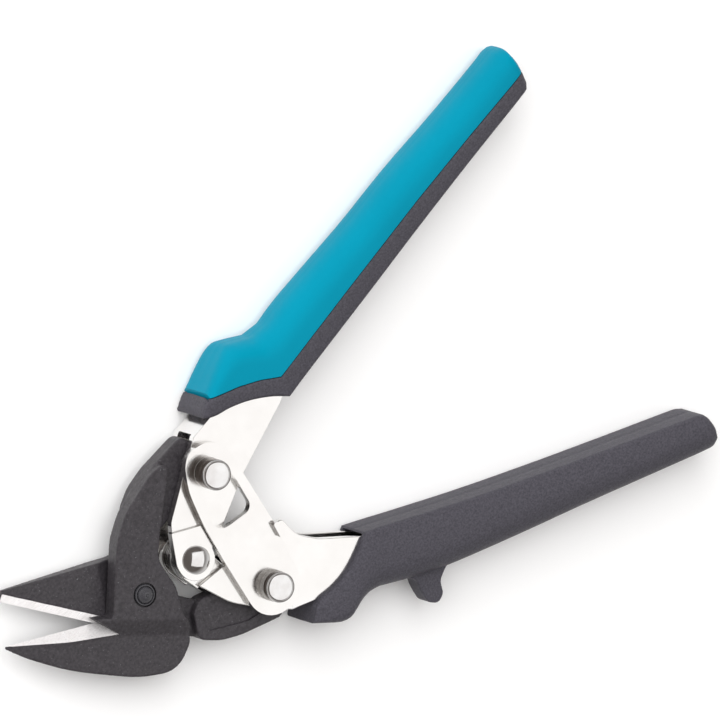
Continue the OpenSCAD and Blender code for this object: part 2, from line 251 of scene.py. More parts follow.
def forged_material():
    """Black forged steel: fine scale grain, with sparse bright specks."""
    shader = Shader("forged_black", (0.039, 0.035, 0.039), 0.46, Specular_IOR_Level=0.4)
    tone = shader.ramp(shader.noise(1500, 4, rough=0.6),
                       (0.3, (0.024, 0.0215, 0.0245)), (0.7, (0.053, 0.048, 0.054)))
    specks = shader.ramp(shader.noise(2600, 2, rough=0.6), (0.67, 0.0), (0.74, 1.0))
    shader.color(shader.mix(specks, tone, (0.14, 0.14, 0.15, 1)))
    shader.roughness(shader.ramp(shader.noise(900, 3), (0.3, 0.38), (0.7, 0.54)))
    shader.bump(shader.noise(2400, 3), 0.00006, 0.8)
    shader.bump(shader.noise(420, 3), 0.0001, 0.35)
    return shader.material


def ground_material():
    """Bright ground steel with grinding lines."""
    shader = Shader("ground_steel", (0.78, 0.77, 0.76), 0.3, 0.35)
    lines = shader.noise(180, 5, shader.stretched((1.2, 26, 26), (0, 0, math.radians(20))), 0.7)
    shader.color(shader.ramp(lines, (0.3, (0.62, 0.59, 0.59)), (0.7, (0.95, 0.94, 0.94))))
    shader.roughness(shader.ramp(lines, (0.3, 0.36), (0.7, 0.24)))
    shader.bump(lines, 0.00002, 0.6)
    return shader.material


def plated_material():
    """Nickel-plated sheet: bright, faintly warm and a little uneven."""
    shader = Shader("nickel_plate", (0.93, 0.915, 0.895), 0.16, 1.0)
    cloud = shader.noise(120, 4)
    shader.color(shader.ramp(cloud, (0.3, (0.9, 0.885, 0.865)), (0.7, (0.95, 0.94, 0.925))))
    shader.roughness(shader.ramp(shader.noise(420, 4), (0.3, 0.13), (0.7, 0.2)))
    shader.bump(shader.noise(160, 2), 0.00004, 0.25)
    return shader.material


def pin_material():
    """Polished chrome of the pin heads, faintly clouded."""
    shader = Shader("bright_chrome", (0.83, 0.82, 0.82), 0.08, 1.0)
    shader.color(shader.ramp(shader.noise(260, 3), (0.3, (0.74, 0.72, 0.71)), (0.7, (0.88, 0.88, 0.88))))
    shader.roughness(shader.ramp(shader.noise(700, 4), (0.3, 0.05), (0.7, 0.13)))
    shader.bump(shader.noise(900, 3), 0.000012, 0.4)
    return shader.material


def painted_dark_flank_material():
    """Flanks of the pin heads, with painted shade: a dark colour for the dark room they mirror, streaked with
    lighter rings.
    """
    shader = Shader("turned_flank_painted_dark", (0.3, 0.26, 0.23), 0.22, 1.0)
    rings = shader.noise(60, 3, shader.stretched((1, 1, 40)), 0.6)
    # the dark ring colours are painted shade standing in for the dark room mirrored in the flank
    shader.color(shader.ramp(rings, (0.35, (0.13, 0.11, 0.1)), (0.65, (0.5, 0.46, 0.43))))
    shader.bump(rings, 0.00002, 0.5)
    return shader.material


def washer_material():
    """Plain satin steel."""
    shader = Shader("plain_steel", (0.62, 0.6, 0.58), 0.32, 1.0)
    shader.roughness(shader.ramp(shader.noise(1500, 4), (0.3, 0.24), (0.7, 0.42)))
    shader.bump(shader.noise(2200, 3), 0.00002, 0.5)
    return shader.material


def wire_material():
    """Drawn spring wire."""
    shader = Shader("spring_steel", (0.55, 0.54, 0.53), 0.25, 1.0)
    shader.color(shader.ramp(shader.noise(1400, 4), (0.3, (0.4, 0.39, 0.38)), (0.7, (0.62, 0.61, 0.6))))
    shader.bump(shader.noise(3000, 3), 0.00001, 0.5)
    return shader.material


def bolt_material():
    """Blackened steel of the blade rivet and its nut."""
    shader = Shader("blackened_steel", (0.045, 0.044, 0.05), 0.36)
    shader.roughness(shader.ramp(shader.noise(1800, 3), (0.3, 0.22), (0.7, 0.34)))
    shader.bump(shader.noise(2600, 3), 0.00002, 0.6)
    return shader.material


def charcoal_material():
    """Hard charcoal plastic with a fine spark-eroded grain."""
    shader = Shader("charcoal_plastic", (0.064, 0.061, 0.073), 0.56, Specular_IOR_Level=0.18)
    grain = shader.noise(2300, 3, rough=0.6)
    shader.color(shader.ramp(grain, (0.3, (0.045, 0.043, 0.052)), (0.7, (0.082, 0.078, 0.094))))
    shader.roughness(shader.ramp(shader.noise(1200, 2), (0.3, 0.5), (0.7, 0.62)))
    shader.bump(grain, 0.00008, 0.7)
    return shader.material


def teal_material():
    """Soft satin teal cover."""
    shader = Shader("teal_cover", (0.0, 0.23, 0.34), 0.42, Specular_IOR_Level=0.06)
    shader.color(shader.ramp(shader.noise(35, 2), (0.3, (0.0, 0.222, 0.328)), (0.7, (0.0, 0.24, 0.354))))
    grain = shader.noise(3000, 3, rough=0.6)
    shader.roughness(shader.ramp(grain, (0.3, 0.38), (0.7, 0.47)))
    shader.bump(grain, 0.00002, 0.5)
    return shader.material


MATERIALS = {
    "forged_steel": forged_material(),
    "ground": ground_material(),
    "plated_sheet": plated_material(),
    "bright_pin": pin_material(),
    "flank": painted_dark_flank_material(),
    "plain_washer": washer_material(),
    "spring_wire": wire_material(),
    "black_bolt": bolt_material(),
    "dark_plastic": charcoal_material(),
    "teal_plastic": teal_material(),
}


# ------------------------------------------------------------------ pieces

def new_piece(name, mesh, *materials):
    """Object with these finishes; all its faces start with the first."""
    for finish in materials:
        mesh.materials.append(MATERIALS[finish])
    piece = bpy.data.objects.new(name, mesh)
    bpy.context.scene.collection.objects.link(piece)
    return piece


def finished(bm, name, *materials):
    """Piece from a bmesh, which is used up."""
    mesh = bpy.data.meshes.new(name)
    bm.to_mesh(mesh)
    bm.free()
    return new_piece(name, mesh, *materials)


def settle(piece, body, slot, *nodes):
    """Puts a finished piece on its body, in place of its CAD nodes."""
    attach(piece, body)
    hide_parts(*nodes)


def modify(piece, kind, **settings):
    modifier = piece.modifiers.new(kind.lower(), kind)
    for key, value in settings.items():
        setattr(modifier, key, value)
    return modifier


def apply_modifiers(piece):
    depsgraph = bpy.context.evaluated_depsgraph_get()
    mesh = bpy.data.meshes.new_from_object(piece.evaluated_get(depsgraph))
    old = piece.data
    piece.modifiers.clear()
    piece.data = mesh
    bpy.data.meshes.remove(old)


def remove(piece):
    mesh = piece.data
    bpy.data.objects.remove(piece)
    bpy.data.meshes.remove(mesh)


def combine(piece, other, operation):
    """Boolean of two closed meshes; the other one is used up."""
    modify(piece, "BOOLEAN", operation=operation, object=other, solver="EXACT")
    apply_modifiers(piece)
    remove(other)


WELD = 2e-7                                          # metres


def heal(piece):
    """Welds stray points, closes pinholes and drops loose points."""
    bm = bmesh.new()
    bm.from_mesh(piece.data)
    bmesh.ops.remove_doubles(bm, verts=bm.verts, dist=WELD)
    bmesh.ops.dissolve_degenerate(bm, edges=bm.edges, dist=1e-7)
    bmesh.ops.holes_fill(bm, edges=[e for e in bm.edges if len(e.link_faces) == 1])
    bmesh.ops.delete(bm, geom=[v for v in bm.verts if not v.link_faces], context="VERTS")
    bmesh.ops.recalc_face_normals(bm, faces=bm.faces)
    bm.to_mesh(piece.data)
    bm.free()


def smooth_shade(piece, angle=35):
    heal(piece)
    piece.data.shade_smooth()
    piece.data.set_sharp_from_angle(angle=math.radians(angle))


# ---- outlines

def fillet(before, corner, after, radius):
    """Arc that rounds a corner of an outline."""
    to_before, to_after = (before - corner).normalized(), (after - corner).normalized()
    half = math.acos(max(-1, min(1, to_before.dot(to_after)))) / 2
    if radius == 0 or half > math.radians(89.5):
        return [corner]
    centre = corner + (to_before + to_after).normalized() * radius / math.sin(half)
    start = corner + to_before * radius / math.tan(half) - centre
    end = corner + to_after * radius / math.tan(half) - centre
    sweep = math.pi - 2 * half
    step = min(10, 24 / math.sqrt(radius))           # degrees, finer on wide arcs
    steps = max(2, math.ceil(math.degrees(sweep) / step))
    turns = [sweep * i / steps for i in range(steps + 1)]
    return [centre + (start * math.sin(sweep - a) + end * math.sin(a)) / math.sin(sweep) for a in turns]


def rounded(corners):
    """Outline from corners (x, y, rounding radius)."""
    spots = [Vector(c[:2]) for c in corners]
    count = len(spots)
    return [p for i in range(count)
            for p in fillet(spots[i - 1], spots[i], spots[(i + 1) % count], corners[i][2])]


def prism(name, outline, low, high, *materials):
    """Closed plate with an outline in millimetres, between two heights."""
    bm = bmesh.new()
    bottom = bm.faces.new([bm.verts.new(at(p[0], p[1], low)) for p in outline])
    bm.normal_update()
    if bottom.normal.z > 0:
        bottom.normal_flip()
    lifted = bmesh.ops.extrude_face_region(bm, geom=[bottom])
    top = [v for v in lifted["geom"] if isinstance(v, bmesh.types.BMVert)]
    bmesh.ops.translate(bm, verts=top, vec=(0, 0, (high - low) * MM))
    if not bottom.is_valid:                          # the extrusion can use it up
        bm.faces.new([bm.verts.new(at(p[0], p[1], low)) for p in outline])
    bmesh.ops.remove_doubles(bm, verts=bm.verts, dist=1e-7)
    bmesh.ops.recalc_face_normals(bm, faces=bm.faces)
    return finished(bm, name, *materials)


def slope_plane(point, height, heading, slope):
    """Plane through a level line at that height; it drops by slope degrees to the left of the heading."""
    left = math.radians(heading + 90)
    tilt = math.radians(slope)
    normal = Vector((math.cos(left) * math.sin(tilt), math.sin(left) * math.sin(tilt), math.cos(tilt)))
    return at(point[0], point[1], height), normal


def level(height):
    """Level plane; the kept side is above it."""
    return at(0, 0, height), Vector((0, 0, 1))


def side(point, heading):
    """Upright plane through a point; the kept side is to the left of the heading."""
    left = math.radians(heading + 90)
    return at(point[0], point[1], 0), Vector((math.cos(left), math.sin(left), 0))


def jawward(x):
    """Upright plane across the shear at x millimetres; the kept side is towards the jaw tips."""
    return side((x, 0), 90)


BLOCK_SIZE = 0.2                                     # metres, more than the shear's length


def block(*planes):
    """Block on the positive side of every plane."""
    bm = bmesh.new()
    bmesh.ops.create_cube(bm, size=BLOCK_SIZE)
    bmesh.ops.translate(bm, verts=bm.verts, vec=BLADE_PIVOT)
    for spot, normal in planes:
        geometry = bm.verts[:] + bm.edges[:] + bm.faces[:]
        bmesh.ops.bisect_plane(bm, geom=geometry, plane_co=spot, plane_no=normal, clear_inner=True)
        bmesh.ops.holes_fill(bm, edges=bm.edges)
    bmesh.ops.recalc_face_normals(bm, faces=bm.faces)
    return finished(bm, "block")


def cut(piece, *planes):
    """Takes away what is on the positive side of every plane."""
    combine(piece, block(*planes), "DIFFERENCE")


def cylinder(spot, radius, low, high, sides=64):
    turns = [2 * math.pi * i / sides for i in range(sides)]
    outline = [(spot[0] + radius * math.cos(a), spot[1] + radius * math.sin(a)) for a in turns]
    return prism("cylinder", outline, low, high)


FORGE_FACTOR, FORGE_KEPT = 0.5, 0.45                 # strength of a smoothing round, share of faces kept


def forge(piece, others, voxel, rounds):
    """Melts closed meshes into one and softens its edges, as a forging has them."""
    bm = bmesh.new()
    bm.from_mesh(piece.data)
    for other in others:
        bm.from_mesh(other.data)
        remove(other)
    bm.to_mesh(piece.data)
    bm.free()
    modify(piece, "REMESH", mode="VOXEL", voxel_size=voxel * MM)
    modify(piece, "SMOOTH", factor=FORGE_FACTOR, iterations=rounds)
    modify(piece, "DECIMATE", ratio=FORGE_KEPT)
    apply_modifiers(piece)


def face_finish(piece, index, *planes, slack=0.00002):
    """Gives the faces that lie in one of the planes another finish."""
    for polygon in piece.data.polygons:
        for spot, normal in planes:
            if abs((polygon.center - spot).dot(normal)) < slack and abs(polygon.normal.dot(normal)) > 0.99:
                polygon.material_index = index


# ---- blades: outlines of (x, y, rounding radius) and heights, all in millimetres

LOWER_JAW = [
    (-33.9, 8.2, 0.3), (-33.4, 9.9, 0.3), (-22, 5.9, 60), (-10.9, 1.2, 0), (-8.9, -0.6, 1),
    (-8.4, 1, 4), (-5, 6, 14), (0.6, 14.2, 14), (5.6, 18.4, 14), (15.6, 22.6, 12), (21.4, 22.9, 1.5),
    (16.6, 17.2, 14), (10.6, 10, 5), (6.9, 5, 5), (7.4, -3, 5), (5.6, -9.4, 3), (6.2, -12, 3),
    (4.4, -16.4, 4), (-1.6, -20.3, 7), (-10.4, -16, 30), (-23.4, -5.2, 60), (-30.2, 2.9, 30)]

ARM = [
    (6.4, 17.4, 2), (11, 20.8, 12), (16, 22.6, 14), (26.8, 24.8, 2.2), (28.2, 21.6, 2.5),
    (29.6, 20.6, 3), (33.2, 16.6, 4.6), (31, 9.6, 4.6), (22.5, 9.2, 4), (15, 10.6, 10),
    (11.2, 9.4, 3), (8.4, 11.6, 2)]

UPPER_JAW = [
    (-27.2, 19.4, 0.3), (-29.9, 17.2, 0.3), (-21.8, 6.8, 96), (-12.3, -1.4, 0), (-2.6, -8.4, 30),
    (8, -18.4, 14), (16, -22, 5), (20.8, -20.8, 1.5), (16.2, -15.6, 10), (8.9, -7.6, 6),
    (5.9, -4.2, 7), (6.6, 2, 8), (6.4, 9.6, 4.5), (0, 9.4, 10)]

ARM_PANEL = [
    (10.4, -12.4, 1.2), (8.9, -15, 1.2), (9.4, -17, 1.2), (18.3, -20.6, 8), (22.4, -21, 1), (22.8, -19.4, 1),
    (18, -15.2, 8), (13.6, -11.2, 1.5)]

BLADE_T = 4.5                                        # at the pivot boss
ARM_T = 4.8
JAW_T = 2.8                                          # lower jaw beside the boss
FORGE_VOXEL = 0.24
BOSS_SIDE, BOSS_SIDE_HEADING, BOSS_SLOPE = (-9.4, -0.6), 146.2, 25
FALL_HEADING = 60                                    # the jaw thins to the left of this heading
JAW_FALL_FROM, JAW_SLOPE = (-11, -4), 4.6
TIP_FALL_FROM, TIP_FALL_T, TIP_SLOPE = (-19, -0.5), 2.4, 8
TIP_START = (-17.1, -1.6)
EDGE_HEADING = 338.7                                 # along the lower cutting edge
EDGE_ROOT = (-11.2, -0.3)
BEVEL_SLOPE = 43
BEVEL_END, BEVEL_END_HEADING = (-11.1, -1.2), 117
UPPER_EDGE_HEADING = 133.6
UPPER_EDGE_ROOT = (-11.6, -0.6)
EDGE_END, LAND_END = -11, -9.5                       # x where the upper edge and its land end
BACK_FALL_FROM, BACK_HEADING, BACK_SLOPE = (-6, 9), 50, 7    # the upper jaw's far side thins too
BACK_FALL_END = -6
LAND_WIDTH, LAND_Z = 2.0, -0.06                      # bright land along the upper edge
RECESS_Z, RECESS_SLOPE = -0.35, 24                   # recess beside the land, and its ramp to the boss
RECESS_START, RECESS_ALONG, RECESS_END = (-8.7, -0.4), (3.9, 10.3), -1.5
RIVET_BORE, RIVET_SEAT, RIVET_SEAT_DEPTH = 2.25, 2.82, 0.85
LOOP_BORE, LINK_BORE = 3.05, 2.85                    # for the upper and the lower link pin


def flipped(corners):
    """The outline on the other side of the x axis."""
    return [(c[0], -c[1], c[2]) for c in corners]


def make_lower_blade():
    blade = prism("lower_blade_forging", rounded(LOWER_JAW), 0, BLADE_T, "forged_steel", "ground")
    boss_side = slope_plane(BOSS_SIDE, BLADE_T, BOSS_SIDE_HEADING, BOSS_SLOPE)
    cut(blade, boss_side, level(JAW_T))
    cut(blade, boss_side, slope_plane(JAW_FALL_FROM, JAW_T, FALL_HEADING, JAW_SLOPE))
    cut(blade, side(TIP_START, FALL_HEADING), slope_plane(TIP_FALL_FROM, TIP_FALL_T, FALL_HEADING, TIP_SLOPE))
    arm = prism("arm", rounded(ARM), -ARM_T / 2, ARM_T / 2)
    forge(blade, [arm], FORGE_VOXEL, 7)
    bevel = slope_plane(EDGE_ROOT, 0, EDGE_HEADING, BEVEL_SLOPE)
    cut(blade, bevel, side(BEVEL_END, BEVEL_END_HEADING))
    face_finish(blade, 1, bevel)
    for bore in (cylinder((0, 0), RIVET_SEAT, BLADE_T - RIVET_SEAT_DEPTH, BLADE_T + 2),
                 cylinder((0, 0), RIVET_BORE, -1, BLADE_T), cylinder(UPPER_LINK, LOOP_BORE, -5, 5)):
        combine(blade, bore, "DIFFERENCE")
    smooth_shade(blade)
    settle(blade, "lower_blade", "forged_steel", "lower_blade")


def make_upper_blade():
    blade = prism("upper_blade_forging", rounded(UPPER_JAW), -BLADE_T, 0, "forged_steel", "ground")
    spot, normal = slope_plane(BACK_FALL_FROM, -BLADE_T, BACK_HEADING, BACK_SLOPE)
    cut(blade, (spot, Vector((normal.x, normal.y, -normal.z))), jawward(BACK_FALL_END))
    edge = math.radians(UPPER_EDGE_HEADING)
    inward = Vector((math.sin(edge), -math.cos(edge), 0))
    land_limit = at(*UPPER_EDGE_ROOT) + inward * LAND_WIDTH * MM
    heading = math.degrees(math.atan2(RECESS_ALONG[1], RECESS_ALONG[0]))
    recess_end = side(RECESS_START, heading)
    cut(blade, level(RECESS_Z), (land_limit, inward), recess_end)
    cut(blade, slope_plane(RECESS_START, RECESS_Z, heading + 180, RECESS_SLOPE), (land_limit, inward),
        (recess_end[0], -recess_end[1]), jawward(RECESS_END))
    arm = prism("arm", rounded(flipped(ARM)), -ARM_T / 2, ARM_T / 2)
    forge(blade, [arm], FORGE_VOXEL, 6)
    cut(blade, (at(*UPPER_EDGE_ROOT), -inward), jawward(EDGE_END))
    land = level(LAND_Z)
    cut(blade, land, (land_limit, -inward), jawward(LAND_END))
    for gone in (prism("panel", rounded(ARM_PANEL), ARM_T / 2 - 0.5, ARM_T),
                 cylinder((0, 0), RIVET_BORE - 0.05, -6, 1), cylinder(LOWER_LINK, LINK_BORE, -5, 5)):
        combine(blade, gone, "DIFFERENCE")
    face_finish(blade, 1, land, (at(*UPPER_EDGE_ROOT), -inward))
    smooth_shade(blade)
    settle(blade, "upper_blade", "forged_steel", "upper_blade")


# ---- sheet metal and nut

def from_cad(node, name, *materials):
    """Copy of a CAD node's mesh, welded and with its flat faces whole."""
    bm = bmesh.new()
    bm.from_mesh(frame["nodes"][node].data)
    bmesh.ops.remove_doubles(bm, verts=bm.verts, dist=1e-6)
    bmesh.ops.dissolve_limit(bm, angle_limit=math.radians(1), verts=bm.verts, edges=bm.edges)
    for face in bm.faces:
        face.material_index = 0
    return finished(bm, name, *materials)


def soft_edges(piece, width):
    """Rounds the edges of stamped or machined metal."""
    modify(piece, "BEVEL", width=width * MM, segments=3, limit_method="ANGLE",
           angle_limit=math.radians(30), use_clamp_overlap=True, miter_outer="MITER_ARC")
    apply_modifiers(piece)
    heal(piece)
    piece.data.shade_smooth()
    modify(piece, "WEIGHTED_NORMAL", weight=60, keep_sharp=True)
    apply_modifiers(piece)


def make_sheet_and_nut():
    for node, name, finish, body, edge in (
            ("upper_frame", "upper_frame_channel", "plated_sheet", "upper_handle", 0.22),
            ("lower_frame", "lower_frame_channel", "plated_sheet", "lower_handle", 0.22),
            ("latch_plate", "latch_hook_plate", "plated_sheet", "latch", 0.25),
            ("blade_pivot_nut", "blade_pivot_hex_nut", "black_bolt", "upper_blade", 0.3)):
        piece = from_cad(node, name, finish)
        soft_edges(piece, edge)
        settle(piece, body, finish, node)


# ---- turned parts: profiles of (radius, height) in millimetres

def ring_of(bm, spot, radius, height, sides):
    """Points of one level circle; a single point for no radius."""
    if radius == 0:
        return [bm.verts.new(at(spot[0], spot[1], height))]
    return [bm.verts.new(on_circle(spot, radius, k / sides, height)) for k in range(sides)]


def lathe(name, spot, profile, *materials, sides=96):
    """Closed turned piece from (radius, height) points, first and last on the axis."""
    bm = bmesh.new()
    rings = [ring_of(bm, spot, radius, height, sides) for radius, height in profile]
    for lower, upper in zip(rings, rings[1:]):
        for k in range(sides):
            n = (k + 1) % sides
            corners = [lower[k % len(lower)], lower[n % len(lower)],
                       upper[n % len(upper)], upper[k % len(upper)]]
            bm.faces.new(list(dict.fromkeys(corners)))
    bmesh.ops.recalc_face_normals(bm, faces=bm.faces)
    piece = finished(bm, name, *materials)
    smooth_shade(piece, 40)
    return piece


def arc(centre, radius, start, end, steps=6):
    """Points of an arc in a profile, with angles in degrees."""
    return [(centre[0] + radius * math.cos(math.radians(start + (end - start) * i / steps)),
             centre[1] + radius * math.sin(math.radians(start + (end - start) * i / steps)))
            for i in range(steps + 1)]


LINK_SHANK, LINK_HEAD, LINK_CROWN = 2.8, 3.5, 0.48   # radii, and rise of the cap
FORMED_END = -6.6                                    # far ends of the link pins


def tall_head(low, rim):
    """Profile of a link pin: formed end, shank and a tall head with a grooved flank and a domed cap."""
    shank, head = LINK_SHANK, LINK_HEAD
    rise = LINK_CROWN - 0.04
    return [(0, FORMED_END), (shank - 0.9, FORMED_END),
            *arc((shank - 0.2, FORMED_END + 0.5), 0.5, -90, 0, 4), (shank + 0.3, -5.7), (shank, -5.6),
            (shank, low), (head - 0.12, low), (head, low + 0.12), (head, rim - 0.75),
            (head - 0.14, rim - 0.66), (head - 0.14, rim - 0.52), (head, rim - 0.43),
            *arc((head - 0.25, rim - 0.1), 0.25, 0, 70, 4), (head - 0.32, rim + 0.06),
            *[(head * u, rim + 0.04 + rise * (1 - u * u))
              for u in (0.88, 0.8, 0.7, 0.6, 0.5, 0.38, 0.26, 0.14)],
            (0, rim + LINK_CROWN)]


def paint_flank_shade(piece, spot, radius, low, high):
    """Gives the outside of a head, below its cap, the flank finish whose darker colour is painted shade."""
    for polygon in piece.data.polygons:
        centre = local(polygon.center)
        if low < centre.z < high and abs(polygon.normal.z) < 0.6 and (centre - spot).xy.length > radius - 0.3:
            polygon.material_index = 1


# Rivet of the blades: a flange in the seat, a groove and a domed middle with a turning mark
RIVET = [
    (0, -6.9), (1.9, -6.9), (2.2, -6.6), (2.2, 3.7), (2.42, 3.7), (2.42, 4.5), (2.34, 4.66), (2.12, 4.68),
    (2.0, 4.5), (1.96, 4.3), (1.9, 4.3), (1.88, 4.8), (1.72, 5.16), (1.4, 5.46), (1.0, 5.68), (0.6, 5.8),
    (0.44, 5.82), (0.38, 5.72), (0.28, 5.72), (0.2, 5.9), (0, 5.94)]

DOME_HEAD, DOME_RIM, DOME_RISE = 3.25, 6.35, 0.85    # head of the handle pivot pin


def handle_pivot_profile():
    """Far end, shank and a low head with a ball-shaped dome."""
    ball = (DOME_HEAD ** 2 + DOME_RISE ** 2) / (2 * DOME_RISE)
    slopes = [math.radians(a) for a in (28, 26, 23.5, 21, 18.5, 16, 13.5, 11, 8.5, 6, 4, 2)]
    top = DOME_RIM + DOME_RISE
    return [(0, -7.1), (2.1, -7.1), *arc((2.4, -6.7), 0.4, -90, 0, 4), (2.4, -6.4), (2.4, 5.95),
            (DOME_HEAD - 0.1, 5.95), (DOME_HEAD, 6.05), (DOME_HEAD, DOME_RIM - 0.03),
            *[(ball * math.sin(a), top - ball * (1 - math.cos(a))) for a in slopes], (0, top)]


def make_pins():
    for name, node, body, spot, low, rim in (
            ("upper_link_pin_turned", "upper_link_pin", "upper_handle", UPPER_LINK, 7.15, 11.3),
            ("lower_link_pin_turned", "lower_link_pin", "lower_handle", LOWER_LINK, 8.9, 10.6)):
        pin = lathe(name, spot, tall_head(low, rim), "bright_pin", "flank")
        # the flank faces get painted shade: a darker chrome for the dark room they mirror
        paint_flank_shade(pin, spot, LINK_HEAD, low - 0.3, rim - 0.2)
        settle(pin, body, "bright_pin", node)
    pivot = lathe("handle_pivot_pin_turned", HANDLE_PIVOT, handle_pivot_profile(), "bright_pin")
    settle(pivot, "lower_handle", "bright_pin", "handle_pivot_pin")
    rivet = lathe("blade_rivet_turned", (0, 0), RIVET, "black_bolt")
    settle(rivet, "upper_blade", "black_bolt", "blade_pivot_bolt")


WASHER_EDGE = 0.12
LINK_RING = [(2.8, 4.4, -5.6, -5.0)]

# name, centre, body, finish, CAD node, and (bore, radius, low, high) of each ring
WASHERS = [
    ("latch_spring_washer_stack", LOWER_LINK, "lower_handle", "plain_washer", "latch_spring_washers",
     [(2.8, 3.55, 7.05 + 0.6 * i, 7.6 + 0.6 * i) for i in range(3)]),
    ("handle_pivot_ring", HANDLE_PIVOT, "lower_handle", "bright_pin", "handle_pivot_washer",
     [(2.4, 3.8, -6.4, -5.95)]),
    ("upper_link_ring", UPPER_LINK, "upper_handle", "bright_pin", "upper_link_washer", LINK_RING),
    ("lower_link_ring", LOWER_LINK, "lower_handle", "bright_pin", "lower_link_washer", LINK_RING),
    ("blade_pivot_ring", (0, 0), "upper_blade", "plain_washer", "pivot_washer", [(2.2, 4.6, -4.9, -4.5)])]


def make_washers():
    sides, edge = 72, WASHER_EDGE
    for name, spot, body, slot, node, rings in WASHERS:
        bm = bmesh.new()
        for inner, outer, low, high in rings:
            profile = [(inner, low + edge), (inner + edge, low), (outer - edge, low), (outer, low + edge),
                       (outer, high - edge), (outer - edge, high), (inner + edge, high), (inner, high - edge)]
            loops = [ring_of(bm, spot, radius, height, sides) for radius, height in profile]
            for j, loop in enumerate(loops):
                following = loops[(j + 1) % len(loops)]
                for k in range(sides):
                    n = (k + 1) % sides
                    bm.faces.new((loop[k], loop[n], following[n], following[k]))
        bmesh.ops.recalc_face_normals(bm, faces=bm.faces)
        washer = finished(bm, name, slot)
        smooth_shade(washer, 50)
        settle(washer, body, slot, node)


# ---- grips

class Key:
    """Station of a grip: a line from its inner to its outer side, with the section's measures there."""

    def __init__(self, inner, outer, round_w=7.0, round_h=6.3, half=7.15, inner_half=6.2, corner=False):
        self.values = [*inner, *outer, round_w, round_h, half, inner_half]
        self.corner = corner


def stations(keys, step=1.2):
    """Stations about step millimetres apart, on smooth curves through the keys and sharp at corner keys."""
    rows = []
    for i in range(len(keys) - 1):
        a, b = keys[i].values, keys[i + 1].values
        before = keys[i - 1].values if i and not keys[i].corner else None
        after = keys[i + 2].values if i + 2 < len(keys) and not keys[i + 1].corner else None
        length = max(math.dist(a[:2], b[:2]), math.dist(a[2:4], b[2:4]))
        count = max(1, round(length / step))
        for j in range(count):
            t = j / count
            row = []                                 # each measure follows a cubic Hermite curve
            for c in range(len(a)):
                rise = b[c] - a[c]
                start = rise if before is None else 0.5 * (b[c] - before[c])
                end = rise if after is None else 0.5 * (after[c] - a[c])
                start = 0 if rise == 0 else start
                end = 0 if rise == 0 else end
                row.append((2 * t ** 3 - 3 * t ** 2 + 1) * a[c] + (t ** 3 - 2 * t ** 2 + t) * start
                           + (3 * t ** 2 - 2 * t ** 3) * b[c] + (t ** 3 - t ** 2) * end)
            rows.append(row)
    rows.append(list(keys[-1].values))
    return rows


CORNER_STEPS, FLAT_STEPS, ROUND_STEPS = 5, 12, 14    # of a section's inner corner, top and outer round
INNER_POINTS = 5 + CORNER_STEPS + 1                  # points of a section up to its inner corner
POWER = 2.25                                         # roundness of the outer side; 2 is an ellipse
PARTING_GROOVE, PARTING_RIDGE = 0.07, 0.06           # mould lines along the inner and the outer side


def section(width, round_w, round_h, half, inner_half):
    """Upper half of a grip's section, from the middle of its inner side to the middle of its outer side."""
    corner = min(1.0, width * 0.25)
    round_w = min(round_w, width - corner - 0.2)
    round_h = min(round_h, half)
    rise = half - inner_half

    def crown(u):
        return half - rise * max(0.0, 1 - u / (0.5 * width)) ** 2

    points = [(0.0, 0.0), (PARTING_GROOVE, 0.22), (0.0, 0.45),
              (0.0, 0.35 * inner_half), (0.0, 0.7 * inner_half)]
    low = crown(corner) - corner
    for i in range(CORNER_STEPS + 1):
        a = math.pi / 2 * i / CORNER_STEPS
        points.append((corner * (1 - math.cos(a)), low + corner * math.sin(a)))
    flat_end = width - round_w
    for i in range(1, FLAT_STEPS + 1):
        u = corner + (flat_end - corner) * i / FLAT_STEPS
        points.append((u, crown(u)))
    for i in range(1, ROUND_STEPS + 1):
        a = math.pi / 2 * i / ROUND_STEPS
        u = flat_end + round_w * math.sin(a) ** (2 / POWER)
        points.append((u, half - round_h + round_h * math.cos(a) ** (2 / POWER)))
    # one more point on the outer side, below the round or, where the round ends low, before its end
    if points[-1][1] > 0.6:
        points.append((width, 0.5 * points[-1][1]))
    else:
        points.append((width, 0.5 * points[-2][1]))
        points[-2], points[-1] = points[-1], points[-2]
    points.append((width + PARTING_RIDGE, 0.0))
    return points


def split_section(points, seam):
    """The section's line before the seam, its point on the seam, and its line after the seam."""
    for i in range(INNER_POINTS, len(points)):
        if points[i][0] >= seam:
            a, b = points[i - 1], points[i]
            t = (seam - a[0]) / (b[0] - a[0])
            crossing = (seam, a[1] + t * (b[1] - a[1]))
            return points[:i], crossing, points[i:]
    return points, points[-1], points[-1:]


def resampled(points, count):
    """The same line with evenly spaced points."""
    lengths = [0.0]
    for a, b in zip(points, points[1:]):
        lengths.append(lengths[-1] + math.dist(a, b))
    out = []
    j = 0
    for i in range(count):
        goal = lengths[-1] * i / (count - 1)
        while j < len(points) - 2 and lengths[j + 1] < goal:
            j += 1
        span = lengths[j + 1] - lengths[j]
        t = 0 if span == 0 else min(1, (goal - lengths[j]) / span)
        out.append((points[j][0] + t * (points[j + 1][0] - points[j][0]),
                    points[j][1] + t * (points[j + 1][1] - points[j][1])))
    return out


def inset(points, depth):
    """Line moved inwards from the outside of the section."""
    out = []
    for i, p in enumerate(points):
        a, b = points[max(i - 1, 0)], points[min(i + 1, len(points) - 1)]
        along = Vector((b[0] - a[0], b[1] - a[1])).normalized()
        out.append((p[0] + along.y * depth, p[1] - along.x * depth))
    out[-1] = (out[-1][0], 0.0)
    return out


